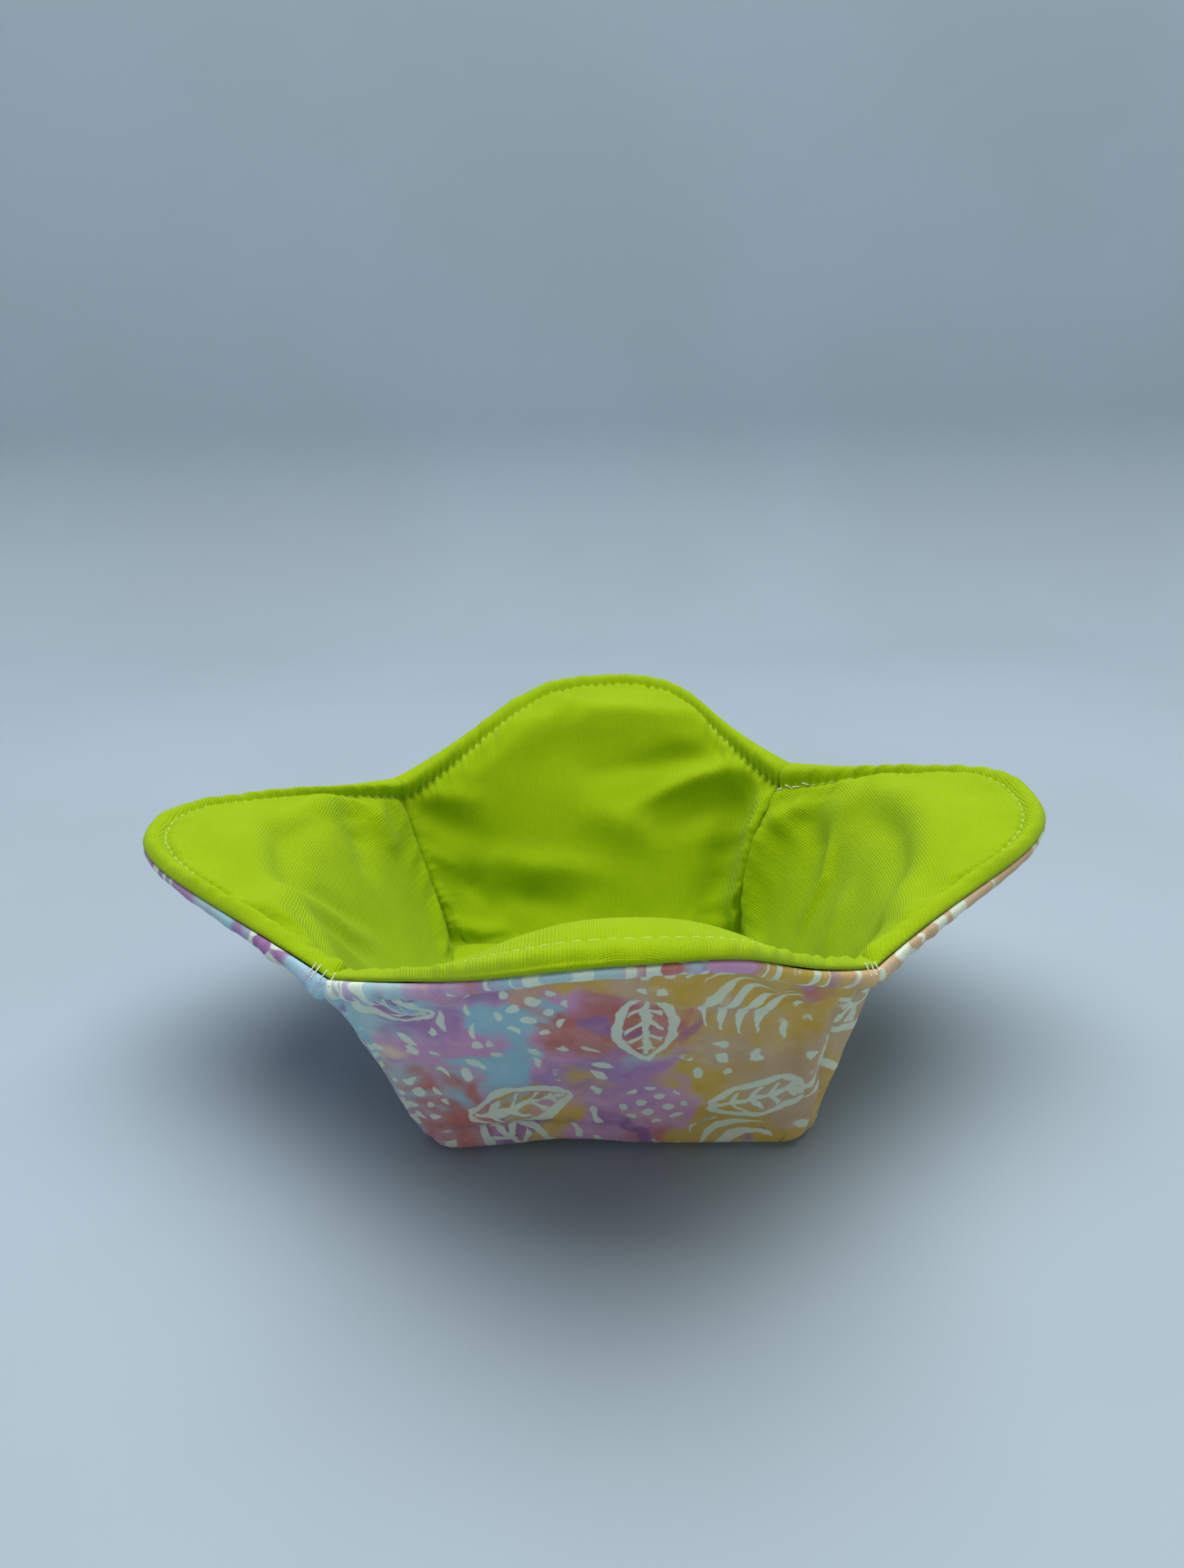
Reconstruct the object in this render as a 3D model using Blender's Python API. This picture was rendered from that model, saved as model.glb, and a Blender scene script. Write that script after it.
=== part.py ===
# Microwave bowl cozy. Two squares of cotton, each backed with its own batting, are
# darted at the middle of each side, laid back to back and sewn together round the rim.
# The darts make the square base and four seams; the square's corners become the petals.
# Metres, +Z up. The origin is on the table, under the middle of the base.

import math

import bmesh
import bpy
import numpy as np

MM = 0.001

# Thicknesses, in millimetres. Offsets are measured from the middle surface, the face
# where the two padded layers meet.
FABRIC = 0.5
GAP = 0.3
HALF_BODY = 3.0
HALF_PINCH = 2.4
HALF_ROLL = 3.5
SEAM_HALF_GAP = 0.2
HEM_DEPTH = 7.4
STITCH_INSET = 6.3

# The base: a square with rounded corners, and the soft fold where the walls start.
BASE_HEIGHT = HALF_BODY
FOOT_ROUND = 7.0
FOOT_FOLD = 4.0

# The four corner seams. Each runs from a foot on the base to the top of its dart, and
# its bellies push its curve's lower and upper handles away from the bowl's axis.
SEAMS = {
    "front_left": {"foot": (-43.0, -52.0), "dart": (-65.0, -66.5, 59.0), "bellies": (4.0, -4.0)},
    "front_right": {"foot": (49.0, -54.0), "dart": (62.5, -69.0, 59.5), "bellies": (1.0, -13.0)},
    "rear_right": {"foot": (50.0, 46.0), "dart": (67.5, 67.0, 58.5), "bellies": (-3.0, -3.0)},
    "rear_left": {"foot": (-49.0, 46.5), "dart": (-67.5, 67.0, 58.5), "bellies": (2.0, 2.0)},
}

# The four petals, counter-clockwise from above. The arms are the lengths of the rim
# curve's handles: at the first dart, on both sides of the tip and at the last dart.
# Lifts raise the rim half way between the tip and each dart. A straight wall climbs from
# the base to a bend, where the petal turns out: flare is the petal's length from there to
# the rim, rise its slope in degrees, and round how far on both sides the bend reaches.
PETALS = (
    {
        "between": ("front_left", "front_right"),
        "outward": (0, -1),
        "tip": (1.0, -116.0, 88.0),
        "arms": (52.0, 24.0, 24.0, 52.0),
        "lifts": (-0.5, 2.0),
        "rise": 0.0,
        "flare": 22.0,
        "round": 26.0,
    },
    {
        "between": ("front_right", "rear_right"),
        "outward": (1, 0),
        "tip": (125.5, 5.0, 71.5),
        "arms": (64.0, 32.0, 26.0, 50.0),
        "lifts": (-1.0, 0.0),
        "rise": 5.0,
        "flare": 35.0,
        "round": 7.5,
    },
    {
        "between": ("rear_right", "rear_left"),
        "outward": (0, 1),
        "tip": (8.0, 120.0, 76.5),
        "arms": (50.0, 30.0, 24.0, 50.0),
        "lifts": (1.0, 3.0),
        "rise": 9.0,
        "flare": 26.0,
        "round": 7.0,
    },
    {
        "between": ("rear_left", "front_left"),
        "outward": (-1, 0),
        "tip": (-128.0, 4.0, 67.5),
        "arms": (50.0, 23.0, 23.0, 52.0),
        "lifts": (0.0, 0.0),
        "rise": 2.0,
        "flare": 35.0,
        "round": 7.5,
    },
)
TIP_OVERSHOOT = 12.0
SEAM_BLEND = 2.4
FLARE_SPREAD = 0.12
SIDE_FLARE = 0.5
ROUND_LIMIT = 0.9

# The mesh: columns from dart to dart, closer together at the tips and the darts, and
# rings from the base's flat to the rim.
COLUMNS_PER_PETAL = 14
COLUMN_CROWDING = 0.4
FOOT_RINGS = (0.0, 3.2, 7.5)
WALL_RINGS = 6
PROFILE_STEPS = 60

# Sections of the layers at the rim, as (distance in from the rim, offset).
RIM_FACE = (
    (9.5, 2.9),
    (STITCH_INSET, HALF_PINCH),
    (3.2, HALF_ROLL),
    (1.1, 2.9),
    (0.0, 1.6),
    (0.5, SEAM_HALF_GAP),
)
HEM = (
    (HEM_DEPTH, SEAM_HALF_GAP),
    (HEM_DEPTH, SEAM_HALF_GAP + FABRIC),
    (1.3, SEAM_HALF_GAP + FABRIC),
)
RIM_BACK = (
    (0.8, 1.6),
    (1.6, 2.4),
    (3.2, HALF_ROLL - FABRIC),
    (STITCH_INSET, HALF_PINCH - FABRIC),
    (9.5, 2.9 - FABRIC),
)
BATTING_FACE = (
    (9.5, 2.9 - FABRIC - GAP),
    (STITCH_INSET, HALF_PINCH - FABRIC - GAP),
    (3.4, HALF_ROLL - FABRIC - GAP),
    (1.9, 2.0),
)
BATTING_BACK = (
    (1.9, SEAM_HALF_GAP + FABRIC + GAP),
    (HEM_DEPTH + GAP, SEAM_HALF_GAP + FABRIC + GAP),
    (HEM_DEPTH + GAP + 0.5, SEAM_HALF_GAP),
    (9.5, SEAM_HALF_GAP),
)

# Colours, roughness and metallic value.
LIME_COTTON = ((0.45, 0.68, 0.03), 0.85, 0.0)
PRINTED_COTTON = ((0.66, 0.45, 0.48), 0.80, 0.0)
WHITE_BATTING = ((0.86, 0.85, 0.80), 0.95, 0.0)


def cubic(p0, p1, p2, p3, t):
    """Points on a Bezier curve between p0 and p3."""
    return (1 - t) ** 3 * p0 + 3 * (1 - t) ** 2 * t * p1 + 3 * (1 - t) * t * t * p2 + t**3 * p3


def axes(petal):
    """The directions out along the petal, across it and up."""
    out = np.array([*petal["outward"], 0.0])
    across = np.array([-out[1], out[0], 0.0])
    return out, across, np.array([0.0, 0.0, 1.0])


def rim_points(petal, s):
    """Points on the rim for s from 0 at the first dart to 1 at the next, 0.5 at the tip."""
    first, last = (np.array(SEAMS[name]["dart"]) for name in petal["between"])
    tip = np.array(petal["tip"])
    out, across, _ = axes(petal)
    first_arm, before, after, last_arm = petal["arms"]
    lift = np.array([0.0, 0.0, petal["lifts"][s > 0.5] * math.sin(2 * math.pi * s) ** 2])

    def handle(dart, length):
        aim = tip + out * TIP_OVERSHOOT - dart
        return dart + aim / np.linalg.norm(aim) * length

    if s <= 0.5:
        return lift + cubic(first, handle(first, first_arm), tip - across * before, tip, 2 * s)
    return lift + cubic(tip, tip + across * after, handle(last, last_arm), last, 2 * s - 1)


def foot_points(petal, s):
    """Points on the rounded edge of the base, below the rim points."""
    first, last = (np.array(SEAMS[name]["foot"]) for name in petal["between"])
    length = np.linalg.norm(last - first)
    near_corner = min(s, 1 - s) * length + FOOT_ROUND * (1 - math.sqrt(0.5))
    bulge = FOOT_ROUND * (1 - math.sqrt(0.5))
    if near_corner < FOOT_ROUND:
        bulge -= FOOT_ROUND - math.sqrt(FOOT_ROUND**2 - (FOOT_ROUND - near_corner) ** 2)
    out = axes(petal)[0][:2]
    return np.array([*(first + (last - first) * s + out * bulge), BASE_HEIGHT])


def evenly(line, steps):
    """The same line with its points evenly spaced."""
    gaps = np.linalg.norm(np.diff(line, axis=0), axis=1)
    climbed = np.concatenate([[0.0], np.cumsum(gaps)])
    even = np.linspace(0.0, climbed[-1], steps)
    return np.stack([np.interp(even, climbed, line[:, k]) for k in range(3)], axis=1)


def bent_wall(petal, s, foot, rim):
    """The middle's way up: a straight wall, a rounded bend and the petal."""
    out, across, up = axes(petal)
    side = 2 * s - 1
    rise = math.radians(petal["rise"])
    flare = out * math.cos(rise) + up * math.sin(rise) + across * side * FLARE_SPREAD
    flare *= petal["flare"] * (1 - SIDE_FLARE * side * side)
    bend = rim - flare
    wall = bend - foot
    before = bend - wall / np.linalg.norm(wall) * petal["round"]
    after = bend + flare * min(petal["round"] / np.linalg.norm(flare), ROUND_LIMIT)
    turn = [k / 12 for k in range(13)]
    rounded = [(1 - t) ** 2 * before + 2 * (1 - t) * t * bend + t * t * after for t in turn]
    return np.array([foot, *rounded, rim])


def profile(petal, s):
    """One line of cloth from the base's flat, round the fold and up to the rim."""
    foot = foot_points(petal, s)
    rim = rim_points(petal, s)
    side = 2 * s - 1

    seam = SEAMS[petal["between"][side > 0]]
    corner = np.array([*seam["foot"], 0.0])
    low_belly, high_belly = (corner / np.linalg.norm(corner) * belly for belly in seam["bellies"])
    low = foot + (rim - foot) * 0.36 + low_belly
    high = foot + (rim - foot) * 0.70 + high_belly
    seam_line = [cubic(foot, low, high, rim, k / PROFILE_STEPS) for k in range(PROFILE_STEPS + 1)]

    middle = 1 - abs(side) ** SEAM_BLEND
    bent = evenly(bent_wall(petal, s, foot, rim), PROFILE_STEPS + 1)
    line = np.array(seam_line) * (1 - middle) + bent * middle

    # The fold is a curve from the base's flat to a point the same way up the wall.
    climbed = np.cumsum([0.0] + [np.linalg.norm(b - a) for a, b in zip(line, line[1:])])
    above = [p for p, height in zip(line, climbed) if height > FOOT_FOLD]
    to_middle = np.array([-foot[0], -foot[1], 0.0])
    flat = foot + to_middle / np.linalg.norm(to_middle) * FOOT_FOLD
    turn = [k / 8 for k in range(8)]
    fold = [(1 - t) ** 2 * flat + 2 * (1 - t) * t * foot + t * t * above[0] for t in turn]
    return np.array(fold + above)


def column_places():
    """Where the columns of one petal stand, as s."""
    steps = [k / COLUMNS_PER_PETAL for k in range(COLUMNS_PER_PETAL)]
    wave = [COLUMN_CROWDING * math.sin(4 * math.pi * x) / (4 * math.pi) for x in steps]
    return [x - w for x, w in zip(steps, wave)]


class MiddleSurface:
    """The face where the two layers meet, as columns that can be read at any distance."""

    def __init__(self):
        lines = [profile(petal, s) for petal in PETALS for s in column_places()]
        steps = max(len(line) for line in lines)
        self.lines = [evenly(line, steps) for line in lines]
        grid = np.array(self.lines)
        along = np.gradient(grid, axis=1)
        around = np.roll(grid, -1, axis=0) - np.roll(grid, 1, axis=0)
        normal = np.cross(along, around)
        normal[:, 0] = (0.0, 0.0, 1.0)
        self.normals = normal / np.linalg.norm(normal, axis=2, keepdims=True)
        gaps = np.linalg.norm(np.diff(grid, axis=1), axis=2)
        self.climbed = np.concatenate([np.zeros((len(lines), 1)), np.cumsum(gaps, axis=1)], axis=1)

    def ring(self, place, offset):
        """A ring of points. place(length) gives the distance climbed on each column."""
        points = []
        for line, normal, climbed in zip(self.lines, self.normals, self.climbed):
            at = place(climbed[-1])
            spot = np.array([np.interp(at, climbed, line[:, k]) for k in range(3)])
            lift = np.array([np.interp(at, climbed, normal[:, k]) for k in range(3)])
            points.append(spot + lift / np.linalg.norm(lift) * offset)
        return points


def wall_places():
    """The rings below the rim section, as distances climbed."""
    places = [lambda length, climb=climb: climb for climb in FOOT_RINGS]
    for k in range(1, WALL_RINGS + 1):
        share = k / (WALL_RINGS + 1)
        start = FOOT_RINGS[-1]
        places.append(lambda length, share=share: start + (length - RIM_FACE[0][0] - start) * share)
    return places


def layer_rings(surface, face, face_offset, back, back_offset, side):
    """The closed section of one layer, from the middle of its face to that of its back.
    Side is 1 for a layer inside the bowl and -1 for one outside. Each ring comes with
    True where the section climbs towards the rim to reach it."""
    section = face + back
    up = [(surface.ring(place, side * face_offset), True) for place in wall_places()]
    rim = []
    for k, (inset, offset) in enumerate(section):
        climbs = k == 0 or inset < section[k - 1][0]
        rim.append((surface.ring(lambda length, inset=inset: length - inset, side * offset), climbs))
    down = [(surface.ring(place, side * back_offset), False) for place in reversed(wall_places())]
    return up + rim + down


def loft(name, rings):
    """A closed solid through the rings, with a flat cap at each end of the section."""
    mesh = bmesh.new()
    made = [[mesh.verts.new(point * MM) for point in ring] for ring, _ in rings]
    count = len(made[0])
    for (lower, upper), (_, climbing) in zip(zip(made, made[1:]), rings[1:]):
        for a in range(count):
            b = (a + 1) % count
            if climbing:
                mesh.faces.new((lower[a], lower[b], upper[b]))
                mesh.faces.new((lower[a], upper[b], upper[a]))
            else:
                mesh.faces.new((lower[a], lower[b], upper[a]))
                mesh.faces.new((lower[b], upper[b], upper[a]))
    mesh.faces.new(reversed(made[0]))
    mesh.faces.new(made[-1])
    bmesh.ops.recalc_face_normals(mesh, faces=mesh.faces)
    data = bpy.data.meshes.new(name)
    mesh.to_mesh(data)
    mesh.free()
    data.shade_smooth()
    data.set_sharp_from_angle(angle=math.radians(60))
    return data


def material(name, finish):
    colour, roughness, metallic = finish
    made = bpy.data.materials.new(name)
    made.use_nodes = True
    shader = made.node_tree.nodes["Principled BSDF"]
    shader.inputs["Base Color"].default_value = (*colour, 1.0)
    shader.inputs["Roughness"].default_value = roughness
    shader.inputs["Metallic"].default_value = metallic
    made.diffuse_color = (*colour, 1.0)
    return made


def add_layer(name, rings, finish, collection):
    data = loft(name, rings)
    data.materials.append(finish)
    layer = bpy.data.objects.new(name, data)
    collection.objects.link(layer)
    return layer


def add_fabric(name, surface, side, finish, collection):
    """A square of cotton. At the rim it rolls over and its hem goes between the layers."""
    rings = layer_rings(surface, RIM_FACE, HALF_BODY, HEM + RIM_BACK, HALF_BODY - FABRIC, side)
    return add_layer(name, rings, finish, collection)


def add_batting(name, surface, side, finish, collection):
    """A square of batting, between its cotton and the middle surface."""
    face_offset = HALF_BODY - FABRIC - GAP
    rings = layer_rings(surface, BATTING_FACE, face_offset, BATTING_BACK, SEAM_HALF_GAP, side)
    return add_layer(name, rings, finish, collection)


def build():
    for old in list(bpy.data.objects):
        bpy.data.objects.remove(old)
    cozy = bpy.data.collections.new("bowl_cozy")
    bpy.context.scene.collection.children.link(cozy)
    surface = MiddleSurface()
    batting = material("white_batting", WHITE_BATTING)
    add_fabric("lining_fabric", surface, 1, material("lime_cotton", LIME_COTTON), cozy)
    add_batting("lining_batting", surface, 1, batting, cozy)
    add_batting("outer_batting", surface, -1, batting, cozy)
    add_fabric("outer_fabric", surface, -1, material("printed_cotton", PRINTED_COTTON), cozy)


build()
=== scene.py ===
# Looks of the microwave bowl cozy: two padded squares of cotton, lime twill inside and
# batik outside, darted into a square-based bowl with four petals.
# Distances in the cloth are in millimetres; what Blender gets is in metres.

import math

import bmesh
import bpy
import numpy as np
from mathutils import Matrix, Vector


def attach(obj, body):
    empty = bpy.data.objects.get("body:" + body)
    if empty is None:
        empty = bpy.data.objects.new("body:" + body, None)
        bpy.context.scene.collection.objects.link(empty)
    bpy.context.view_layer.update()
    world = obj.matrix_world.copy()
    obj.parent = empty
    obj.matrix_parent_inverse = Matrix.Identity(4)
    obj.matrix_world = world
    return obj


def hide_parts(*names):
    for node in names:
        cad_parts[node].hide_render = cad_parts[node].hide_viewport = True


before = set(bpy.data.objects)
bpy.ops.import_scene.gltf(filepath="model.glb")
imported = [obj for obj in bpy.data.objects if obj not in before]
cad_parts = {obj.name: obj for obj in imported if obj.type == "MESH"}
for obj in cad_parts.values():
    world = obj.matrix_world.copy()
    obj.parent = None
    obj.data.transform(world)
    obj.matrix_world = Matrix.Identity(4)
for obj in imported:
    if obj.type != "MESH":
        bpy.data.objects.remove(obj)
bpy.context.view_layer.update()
bpy.ops.object.select_all(action="DESELECT")

# The camera: a phone's main lens, held a little to the left of the cozy and above it. It
# looks down by about 21 degrees, as the rim and the base show.

MM = 0.001
EYE = (-8.2 * MM, -307.9 * MM, 196.8 * MM)
LOOKS_DOWN, LOOKS_LEFT, LEANS = math.radians(20.75), math.radians(-1.22), math.radians(-0.91)
LENS = 27.04


def add(name, data):
    """An object at the origin, linked to the scene."""
    added = bpy.data.objects.new(name, data)
    bpy.context.scene.collection.objects.link(added)
    return added


lens = bpy.data.cameras.new("camera")
lens.lens = LENS
lens.sensor_width = 36.0
lens.clip_start = 0.01
camera = add("camera", lens)
ahead = Vector(
    (
        -math.sin(LOOKS_LEFT) * math.cos(LOOKS_DOWN),
        math.cos(LOOKS_LEFT) * math.cos(LOOKS_DOWN),
        -math.sin(LOOKS_DOWN),
    )
)
level = Vector((math.cos(LOOKS_LEFT), math.sin(LOOKS_LEFT), 0.0))
upright = level.cross(ahead)
across_view = math.cos(LEANS) * level + math.sin(LEANS) * upright
up_view = -math.sin(LEANS) * level + math.cos(LEANS) * upright
camera.matrix_world = Matrix.Translation(EYE) @ Matrix((across_view, up_view, -ahead)).transposed().to_4x4()
bpy.context.scene.camera = camera

# The light: one broad soft box overhead, a little behind the cozy, and a dim room all round
# that is brightest near the level of the floor. The camera sees it as one even pale wall.

ROOM = (0.92, 0.96, 1.0)
ROOM_LOW, ROOM_HIGH, ROOM_SEEN = 0.95, 0.08, 0.6
SOFT_BOX_AT = (0.04, 0.30, 1.75)
SOFT_BOX_SIZE = 2.1
SOFT_BOX_WATTS = 59.5

room = bpy.data.worlds.new("room")
room.use_nodes = True
room.node_tree.nodes["Background"].inputs["Color"].default_value = (*ROOM, 1.0)
wires = room.node_tree.links
heading = room.node_tree.nodes.new("ShaderNodeTexCoord")
height = room.node_tree.nodes.new("ShaderNodeSeparateXYZ")
dimmer = room.node_tree.nodes.new("ShaderNodeMapRange")
for socket, value in (("From Min", 0.05), ("From Max", 0.6), ("To Min", ROOM_LOW), ("To Max", ROOM_HIGH)):
    dimmer.inputs[socket].default_value = value
wires.new(heading.outputs["Generated"], height.inputs[0])
wires.new(height.outputs[2], dimmer.inputs["Value"])
glimpse = room.node_tree.nodes.new("ShaderNodeLightPath")
seen = room.node_tree.nodes.new("ShaderNodeMix")
seen.inputs["B"].default_value = ROOM_SEEN
wires.new(glimpse.outputs["Is Camera Ray"], seen.inputs["Factor"])
wires.new(dimmer.outputs["Result"], seen.inputs["A"])
wires.new(seen.outputs["Result"], room.node_tree.nodes["Background"].inputs["Strength"])
bpy.context.scene.world = room
bpy.context.scene.view_settings.view_transform = "Standard"
bulb = bpy.data.lights.new("soft_box", "AREA")
bulb.shape = "SQUARE"
bulb.size = SOFT_BOX_SIZE
bulb.energy = SOFT_BOX_WATTS
soft_box = add("soft_box", bulb)
soft_box.location = SOFT_BOX_AT
soft_box.rotation_euler = (Vector((0.0, 0.0, 0.03)) - soft_box.location).to_track_quat("-Z", "Y").to_euler()

# The floor: a sheet of pale blue-grey paper, flat under the cozy and swept up behind it.


class Wire:
    """A number in a material. Python expressions on it add Math nodes."""

    def __init__(self, finish, socket):
        self.finish = finish
        self.socket = socket

    def maths(self, operation, *values):
        return self.finish.node("ShaderNodeMath", [self, *values], operation=operation)

    def __add__(self, other):
        return self.maths("ADD", other)

    def __sub__(self, other):
        return self.maths("SUBTRACT", other)

    def __rsub__(self, other):
        return self.finish.node("ShaderNodeMath", [other, self], operation="SUBTRACT")

    def __mul__(self, other):
        return self.maths("MULTIPLY", other)

    def __truediv__(self, other):
        return self.maths("DIVIDE", other)

    def __pow__(self, other):
        return self.maths("POWER", other)

    __radd__ = __add__

    def __abs__(self):
        return self.maths("ABSOLUTE")

    def sine(self):
        return self.maths("SINE")

    def least(self, other):
        return self.maths("MINIMUM", other)

    def most(self, other):
        return self.maths("MAXIMUM", other)

    def over(self, limit):
        """1 above the limit and 0 below it."""
        return self.maths("GREATER_THAN", limit)

    def from_line(self, pitch):
        """The distance to the nearest of many lines, a pitch apart."""
        return abs((self / pitch).maths("FRACT") - 0.5) * pitch

    def between(self, low, high):
        """0 below low and 1 above high, with a soft step between them."""
        sockets = {"Value": self, "From Min": low, "From Max": high}
        return self.finish.node("ShaderNodeMapRange", sockets, interpolation_type="SMOOTHSTEP")


class Finish:
    """A node material that is put together by plain calls."""

    def __init__(self, name, roughness, sheen=0.0, specular=0.3):
        self.material = bpy.data.materials.new(name)
        self.material.use_nodes = True
        self.tree = self.material.node_tree
        self.shader = self.tree.nodes["Principled BSDF"]
        self.shader.inputs["Roughness"].default_value = roughness
        self.shader.inputs["Specular IOR Level"].default_value = specular
        self.shader.inputs["Sheen Weight"].default_value = sheen
        self.shader.inputs["Sheen Roughness"].default_value = 0.5

    def node(self, kind, sockets, out=0, **settings):
        """Adds a node with its settings, then its sockets by name or in order."""
        made = self.tree.nodes.new(kind)
        for key, value in settings.items():
            setattr(made, key, value)
        pairs = sockets.items() if isinstance(sockets, dict) else enumerate(sockets)
        for key, value in pairs:
            if isinstance(value, Wire):
                self.tree.links.new(value.socket, made.inputs[key])
            elif value is not None:
                made.inputs[key].default_value = value
        return Wire(self, made.outputs[out])

    def cloth(self):
        """The flat cloth's own coordinates, in millimetres, as a vector and two numbers."""
        place = self.node("ShaderNodeUVMap", {}, uv_map="cloth")
        place = self.node("ShaderNodeVectorMath", {0: place, "Scale": UV_SPAN}, operation="SCALE")
        return place, *self.split(place)

    def weave(self, x, y, pitch):
        """Threads that cross at 45 degrees to the square's sides."""
        turns = 2 * math.pi / pitch
        return ((x + y) * turns).sine() * ((x - y) * turns).sine()

    def own_place(self):
        """The object's own coordinates, in metres."""
        return self.node("ShaderNodeTexCoord", {}, out=3)

    def split(self, vector):
        """A vector's first two numbers, or a colour's."""
        apart = self.node("ShaderNodeSeparateXYZ", [vector]).socket.node
        return Wire(self, apart.outputs[0]), Wire(self, apart.outputs[1])

    def move(self, vector, by):
        return self.node("ShaderNodeVectorMath", [vector, by], operation="ADD")

    def wobble(self, vector, scale, reach):
        """The vector pushed about at random, by half of reach at most."""
        noise = self.noise(vector, scale, out=1)
        push = self.node("ShaderNodeVectorMath", [noise, (0.5,) * 3], operation="SUBTRACT")
        push = self.node("ShaderNodeVectorMath", {0: push, "Scale": reach}, operation="SCALE")
        return self.move(vector, push)

    def noise(self, vector, scale, detail=2.0, out=0, roughness=0.5):
        sockets = {"Vector": vector, "Scale": scale, "Detail": detail, "Roughness": roughness}
        return self.node("ShaderNodeTexNoise", sockets, out=out)

    def blend(self, share, low, high):
        """A colour between two others, by a share from 0 to 1."""
        low, high = (colour if isinstance(colour, Wire) else (*colour, 1.0) for colour in (low, high))
        return self.node("ShaderNodeMix", {"Factor": share, 6: low, 7: high}, out=2, data_type="RGBA")

    def paint(self, socket, value):
        self.tree.links.new(value.socket, self.shader.inputs[socket])

    def bump(self, height, distance):
        sockets = {"Height": height, "Distance": distance, "Strength": 1.0}
        self.paint("Normal", self.node("ShaderNodeBump", sockets))


UV_SPAN = 300.0
PAPER_BLUE = (0.345, 0.425, 0.485)
PAPER_GREY = (0.33, 0.405, 0.46)
PAPER_HALF_WIDTH = 1.6
PAPER_FRONT = -1.4
SWEEP_STARTS = 0.46
SWEEP_RADIUS = 0.14
PAPER_HEIGHT = 0.95

sweep = [(PAPER_FRONT, 0.0), (SWEEP_STARTS, 0.0)]
for turn in np.linspace(0.0, math.pi / 2, 15)[1:]:
    sweep.append((SWEEP_STARTS + SWEEP_RADIUS * math.sin(turn), SWEEP_RADIUS * (1 - math.cos(turn))))
sweep.append((SWEEP_STARTS + SWEEP_RADIUS, PAPER_HEIGHT))
sheet = bpy.data.meshes.new("paper_sweep")
corners = [(x, y, z) for y, z in sweep for x in (-PAPER_HALF_WIDTH, PAPER_HALF_WIDTH)]
panels = [(2 * k, 2 * k + 1, 2 * k + 3, 2 * k + 2) for k in range(len(sweep) - 1)]
sheet.from_pydata(corners, [], panels)
sheet.shade_smooth()
floor = add("paper_sweep", sheet)
paper = Finish("blue_grey_paper", roughness=0.8, specular=0.1)
blotches = paper.noise(paper.own_place(), 5.0, detail=3.0).between(0.35, 0.65)
paper.paint("Base Color", paper.blend(blotches, PAPER_BLUE, PAPER_GREY))
floor.data.materials.append(paper.material)

# The sewn form. Both padded layers follow one surface, the face where they meet: a square
# base, walls that rise to the four dart tops, and petals that lean out between them. The
# real thing is cut flat, and the darts and the rim seam give it this shape.

FOOT_ROUND = 7.0
FOOT_FOLD = 4.0
HALF_BODY = 3.0

# Each dart's seam: where it leaves the base, its top, and how far out it bellies, low and high.
SEAMS = {
    "front_left": {"foot": (-43.0, -52.0), "dart": (-65.0, -66.5, 59.0), "bellies": (4.0, -4.0)},
    "front_right": {"foot": (49.0, -54.0), "dart": (62.5, -69.0, 59.5), "bellies": (1.0, -13.0)},
    "rear_right": {"foot": (50.0, 46.0), "dart": (67.5, 67.0, 60.5), "bellies": (-3.0, -3.0)},
    "rear_left": {"foot": (-49.0, 46.5), "dart": (-67.5, 67.0, 58.5), "bellies": (2.0, 2.0)},
}

# Each petal lies between two seams, counter-clockwise from above. A straight wall climbs
# to a bend, where the petal turns out: flare is the petal's length from there, rise its
# slope, and round how far the bend reaches. The arms and lifts shape the rim's curve.
PETALS = {
    "front": {
        "between": ("front_left", "front_right"), "outward": (0, -1),
        "tip": (1.0, -116.0, 88.0), "arms": (52.0, 24.0, 24.0, 52.0), "lifts": (-0.5, 2.0),
        "rise": 0.0, "flare": 22.0, "round": 14.0,
    },
    "right": {
        "between": ("front_right", "rear_right"), "outward": (1, 0),
        "tip": (125.5, 5.0, 71.5), "arms": (64.0, 32.0, 26.0, 50.0), "lifts": (-1.0, 0.0),
        "rise": 5.0, "flare": 35.0, "round": 7.5,
    },
    "rear": {
        "between": ("rear_right", "rear_left"), "outward": (0, 1),
        "tip": (8.0, 120.0, 76.5), "arms": (50.0, 30.0, 24.0, 50.0), "lifts": (1.0, 3.0),
        "rise": 9.0, "flare": 26.0, "round": 7.0,
    },
    "left": {
        "between": ("rear_left", "front_left"), "outward": (-1, 0),
        "tip": (-128.0, 4.0, 67.5), "arms": (50.0, 23.0, 23.0, 52.0), "lifts": (0.0, 0.0),
        "rise": 2.0, "flare": 35.0, "round": 7.5,
    },
}
PETAL_NAMES = list(PETALS)
TIP_OVERSHOOT = 12.0
SEAM_BLEND = 2.4
FLARE_SPREAD = 0.12
SIDE_FLARE = 0.5
ROUND_LIMIT = 0.9
COLUMNS = 960
COLUMN_CROWDING = 0.5
PROFILE_STEPS = 90
LOW_BELLY, HIGH_BELLY = 0.36, 0.70


def cubic(p0, p1, p2, p3, t):
    return (1 - t) ** 3 * p0 + 3 * (1 - t) ** 2 * t * p1 + 3 * (1 - t) * t * t * p2 + t**3 * p3


def axes(petal):
    """The directions out along the petal, across it and up."""
    out = np.array([*petal["outward"], 0.0])
    return out, np.array([-out[1], out[0], 0.0]), np.array([0.0, 0.0, 1.0])


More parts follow.
